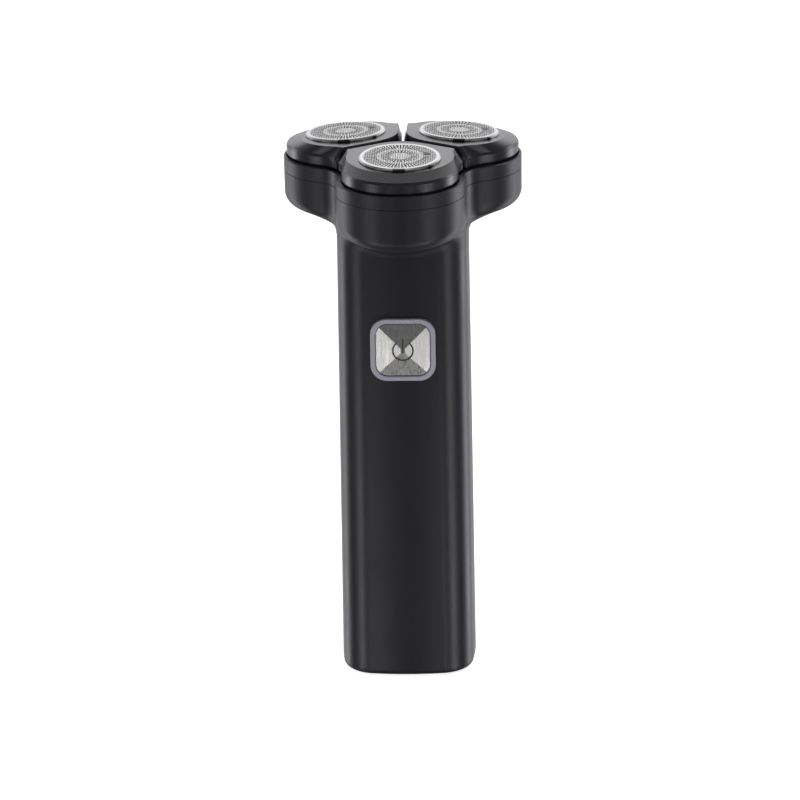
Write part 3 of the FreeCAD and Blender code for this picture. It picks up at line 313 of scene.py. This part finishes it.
def make_materials():
    """One material for each finish: a dark and a light tone, a roughness and how it is worked. The end cap's
    darker tones are painted shade.
    """
    plastics = {
        "satin_black": ((0.0088, 0.0084, 0.0112), (0.0120, 0.0114, 0.0150), 0.38, 0.35),
        # end_cap_black: darker than the sleeve's black as painted shade, standing in for the shading on the
        # handle's rounded bottom edge; its higher roughness is the cap's own.
        "end_cap_black": ((0.004, 0.004, 0.005), (0.006, 0.006, 0.0072), 0.48, 0.35),
        "pod_black": ((0.0085, 0.0082, 0.0108), (0.0115, 0.0110, 0.0142), 0.3, 0.5),
        "head_black": ((0.0088, 0.0084, 0.0112), (0.0120, 0.0114, 0.0150), 0.42, 0.35),
        "frosted_light": ((0.27, 0.265, 0.315), (0.33, 0.325, 0.38), 0.42, 0.4),
        "etched_mark": ((0.03, 0.03, 0.032), (0.05, 0.05, 0.053), 0.5, 0.35),
        "silicone": ((0.07, 0.07, 0.075), (0.09, 0.09, 0.095), 0.6, 0.35),
        "natural_nylon": ((0.74, 0.73, 0.66), (0.82, 0.81, 0.75), 0.4, 0.35),
        "grey_nylon": ((0.10, 0.105, 0.11), (0.15, 0.155, 0.165), 0.45, 0.35),
        "board_green": ((0.01, 0.11, 0.05), (0.02, 0.16, 0.07), 0.3, 0.35),
        "component_black": ((0.02, 0.02, 0.022), (0.035, 0.035, 0.04), 0.5, 0.35),
        "led_lens": ((0.75, 0.76, 0.70), (0.88, 0.88, 0.82), 0.15, 0.35),
        "battery_wrap": ((0.03, 0.14, 0.36), (0.05, 0.20, 0.46), 0.3, 0.35),
    }
    metals = {
        "blade_steel": ((0.45, 0.45, 0.46), (0.62, 0.62, 0.63), 0.3, (1, 1, 1), 900),
        "brushed_button": ((0.42, 0.415, 0.40), (0.74, 0.73, 0.71), 0.3, (1, 1, 0.04), 4000),
        "brass": ((0.62, 0.46, 0.20), (0.80, 0.62, 0.30), 0.28, (1, 1, 1), 900),
        "zinc_steel": ((0.58, 0.58, 0.58), (0.72, 0.72, 0.72), 0.25, (1, 1, 1), 900),
        "spring_steel": ((0.48, 0.48, 0.49), (0.62, 0.62, 0.63), 0.3, (1, 1, 1), 900),
        "magnet_nickel": ((0.56, 0.56, 0.54), (0.68, 0.68, 0.66), 0.18, (1, 1, 1), 900),
        "switch_metal": ((0.5, 0.5, 0.5), (0.62, 0.62, 0.62), 0.3, (1, 1, 1), 900),
        "nickel_strip": ((0.55, 0.54, 0.50), (0.68, 0.67, 0.62), 0.3, (1, 1, 1), 900),
        "motor_steel": ((0.46, 0.46, 0.47), (0.60, 0.60, 0.61), 0.32, (1, 1, 0.05), 900),
    }
    made = {name: plastic(name, *finish) for name, finish in plastics.items()}
    made.update({name: metal(name, *finish) for name, finish in metals.items()})
    return made


def dress_cad_nodes(materials):
    """Give every CAD node its slot's finish. The head's shell is more matt, and each foil has its own."""
    slots = {entry["node"]: entry["material_slot"] for entry in frame["record"]["subparts"]}
    for lobe in LOBES:
        centre = pod_matrix(lobe) @ Vector((0, 0, FOIL_TOP)) * MM
        materials[f"foil_{lobe}"] = foil_steel(lobe, centre)
    special = {"head_base": "head_black", "cutter_frame": "head_black"}
    special.update({f"foil_{lobe}": f"foil_{lobe}" for lobe in LOBES})
    for name, node in frame["nodes"].items():
        node.data.materials.clear()
        node.data.materials.append(materials[special.get(name, slots[name])])


# ---------------------------------------------------------------- pieces of the visual model's own


def add_piece(name, made, material, body):
    """Turn a bmesh in millimetres into a smooth-shaded piece that rides on a body."""
    bmesh.ops.scale(made, vec=(MM, MM, MM), verts=made.verts)
    bmesh.ops.recalc_face_normals(made, faces=made.faces)
    for face in made.faces:
        face.smooth = True
    mesh = bpy.data.meshes.new(name)
    made.to_mesh(mesh)
    made.free()
    piece = bpy.data.objects.new(name, mesh)
    scene.collection.objects.link(piece)
    mesh.materials.append(material)
    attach(piece, body)


def pod_matrix(lobe):
    """A pod's frame in millimetres, turned so that its front faces the object's front."""
    azimuth = math.radians(LOBES[lobe])
    centre = Vector((math.cos(azimuth), math.sin(azimuth), 0)) * POD_DISTANCE
    turn = Matrix.Rotation(azimuth + math.pi / 2, 4, "Z")
    pivot = Vector((0, 0, POD_PIVOT))
    tipped = Matrix.Rotation(math.radians(POD_LEAN), 4, "X")
    lean = Matrix.Translation(pivot) @ tipped @ Matrix.Translation(-pivot)
    return Matrix.Translation(centre) @ turn @ lean @ turn.inverted()


def skin(made, rings):
    """Join closed rings of points, one after another, with four-sided faces."""
    for near, far in zip(rings, rings[1:]):
        for index in range(len(near)):
            following = (index + 1) % len(near)
            made.faces.new((near[index], near[following], far[following], far[index]))


def add_sector(made, inner, outer, bottom, top, middle, half_angle, bevel):
    """A curved block between two radii, bevelled along its top edges."""
    steps = 12
    profile = [(inner, bottom), (inner, top - bevel), (inner + bevel, top), (outer - bevel, top),
               (outer, top - bevel), (outer, bottom)]
    rings = []
    for step in range(steps + 1):
        angle = math.radians(middle - half_angle + 2 * half_angle * step / steps)
        rings.append([made.verts.new((math.cos(angle) * reach, math.sin(angle) * reach, level))
                      for reach, level in profile])
    skin(made, rings)
    made.faces.new(rings[0])
    made.faces.new(rings[-1][::-1])


def add_dimple(made, reach, azimuth, radius, depth):
    """A shallow dish sunk in a raised lip on a foil's face."""
    angle = math.radians(azimuth)
    centre = Vector((math.cos(angle) * reach, math.sin(angle) * reach, FOIL_TOP))
    profile = [(radius * 1.25, 0.0), (radius * 1.1, depth), (radius, depth), (radius * 0.7, depth * 0.35),
               (radius * 0.35, depth * 0.15)]
    steps = 32
    rings = []
    for reach_out, rise in profile:
        ring = []
        for step in range(steps):
            turn = 2 * math.pi * step / steps
            offset = Vector((math.cos(turn) * reach_out, math.sin(turn) * reach_out, rise))
            ring.append(made.verts.new(centre + offset))
        rings.append(ring)
    skin(made, rings)
    made.faces.new(rings[-1])


def add_foil_details(materials):
    """Each foil's rim is gripped by a wide tab in front and a narrow one beside it; a dish keys its face."""
    for lobe in LOBES:
        placed = pod_matrix(lobe)
        tabs = bmesh.new()
        root = FACE_LEVEL - 0.3
        add_sector(tabs, FOIL_RIM - 0.62, FOIL_RIM + 0.4, root, FOIL_TOP + 0.05, -90, 8.5, 0.12)
        add_sector(tabs, FOIL_RIM - 0.3, FOIL_RIM + 0.3, root, FOIL_TOP - 0.1, -42, 2.4, 0.08)
        bmesh.ops.transform(tabs, matrix=placed, verts=tabs.verts)
        add_piece(f"foil_tabs_{lobe}", tabs, materials["pod_black"], f"pod_{lobe}")
        dish = bmesh.new()
        add_dimple(dish, 7.0, 14, 0.75, 0.07)
        bmesh.ops.transform(dish, matrix=placed, verts=dish.verts)
        add_piece(f"foil_key_{lobe}", dish, materials["etched_mark"], f"pod_{lobe}")


def add_springs():
    """Copies of the CAD's springs, each riding on its joint's parent body in place of the CAD's own."""
    for joint in frame["record"]["behaviour"]["joints"]:
        for entry in joint.get("deforming_nodes", []):
            node = frame["nodes"][entry["node"]]
            spring = bpy.data.objects.new(f"{entry['node']}_soft", node.data.copy())
            scene.collection.objects.link(spring)
            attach(spring, joint["parent"])
            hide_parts(entry["node"])
            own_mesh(spring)


def button_surface(x, z):
    """How far in front of the axis the button's faceted face is, at a point measured from its middle."""
    off = min(max(abs(x), abs(z), BUTTON_TIP), BUTTON_HALF)
    return BUTTON_BASE + BUTTON_RISE * (BUTTON_HALF - off) / (BUTTON_HALF - BUTTON_TIP)


def add_stroke(made, points):
    """A thin ribbon of print that follows the button's facets along a line of points."""
    width, thickness = 0.42, 0.03
    rails = []
    for index, point in enumerate(points):
        before, after = points[max(index - 1, 0)], points[min(index + 1, len(points) - 1)]
        along = (after - before).normalized()
        across = Vector((-along.y, along.x))
        ring = []
        for side, lift in ((-0.5, -thickness), (-0.5, thickness), (0.5, thickness), (0.5, -thickness)):
            at = point + across * (width * side)
            ring.append(made.verts.new((at.x, -button_surface(at.x, at.y) - lift, BUTTON_LEVEL + at.y)))
        rails.append(ring)
    skin(made, rails)
    made.faces.new(rails[0])
    made.faces.new(rails[-1][::-1])


def add_power_symbol(materials):
    """The usual power symbol, a broken ring with an upright bar, printed on the button."""
    mark = bmesh.new()
    radius, half_break, arc_steps = 2.6, 38, 60
    arc = []
    for step in range(arc_steps + 1):
        angle = math.radians(90 + half_break + (360 - 2 * half_break) * step / arc_steps)
        arc.append(Vector((math.cos(angle), math.sin(angle))) * radius)
    add_stroke(mark, arc)
    bar_foot, bar_length, bar_steps = -0.7, 3.9, 30
    bar = [Vector((0, bar_foot + bar_length * step / bar_steps)) for step in range(bar_steps + 1)]
    add_stroke(mark, bar)
    add_piece("power_symbol", mark, materials["etched_mark"], "button")


add_camera()
add_floor()
add_world()
add_lights()
scene.view_settings.view_transform = "Standard"
materials = make_materials()
dress_cad_nodes(materials)
add_foil_details(materials)
add_power_symbol(materials)
add_springs()
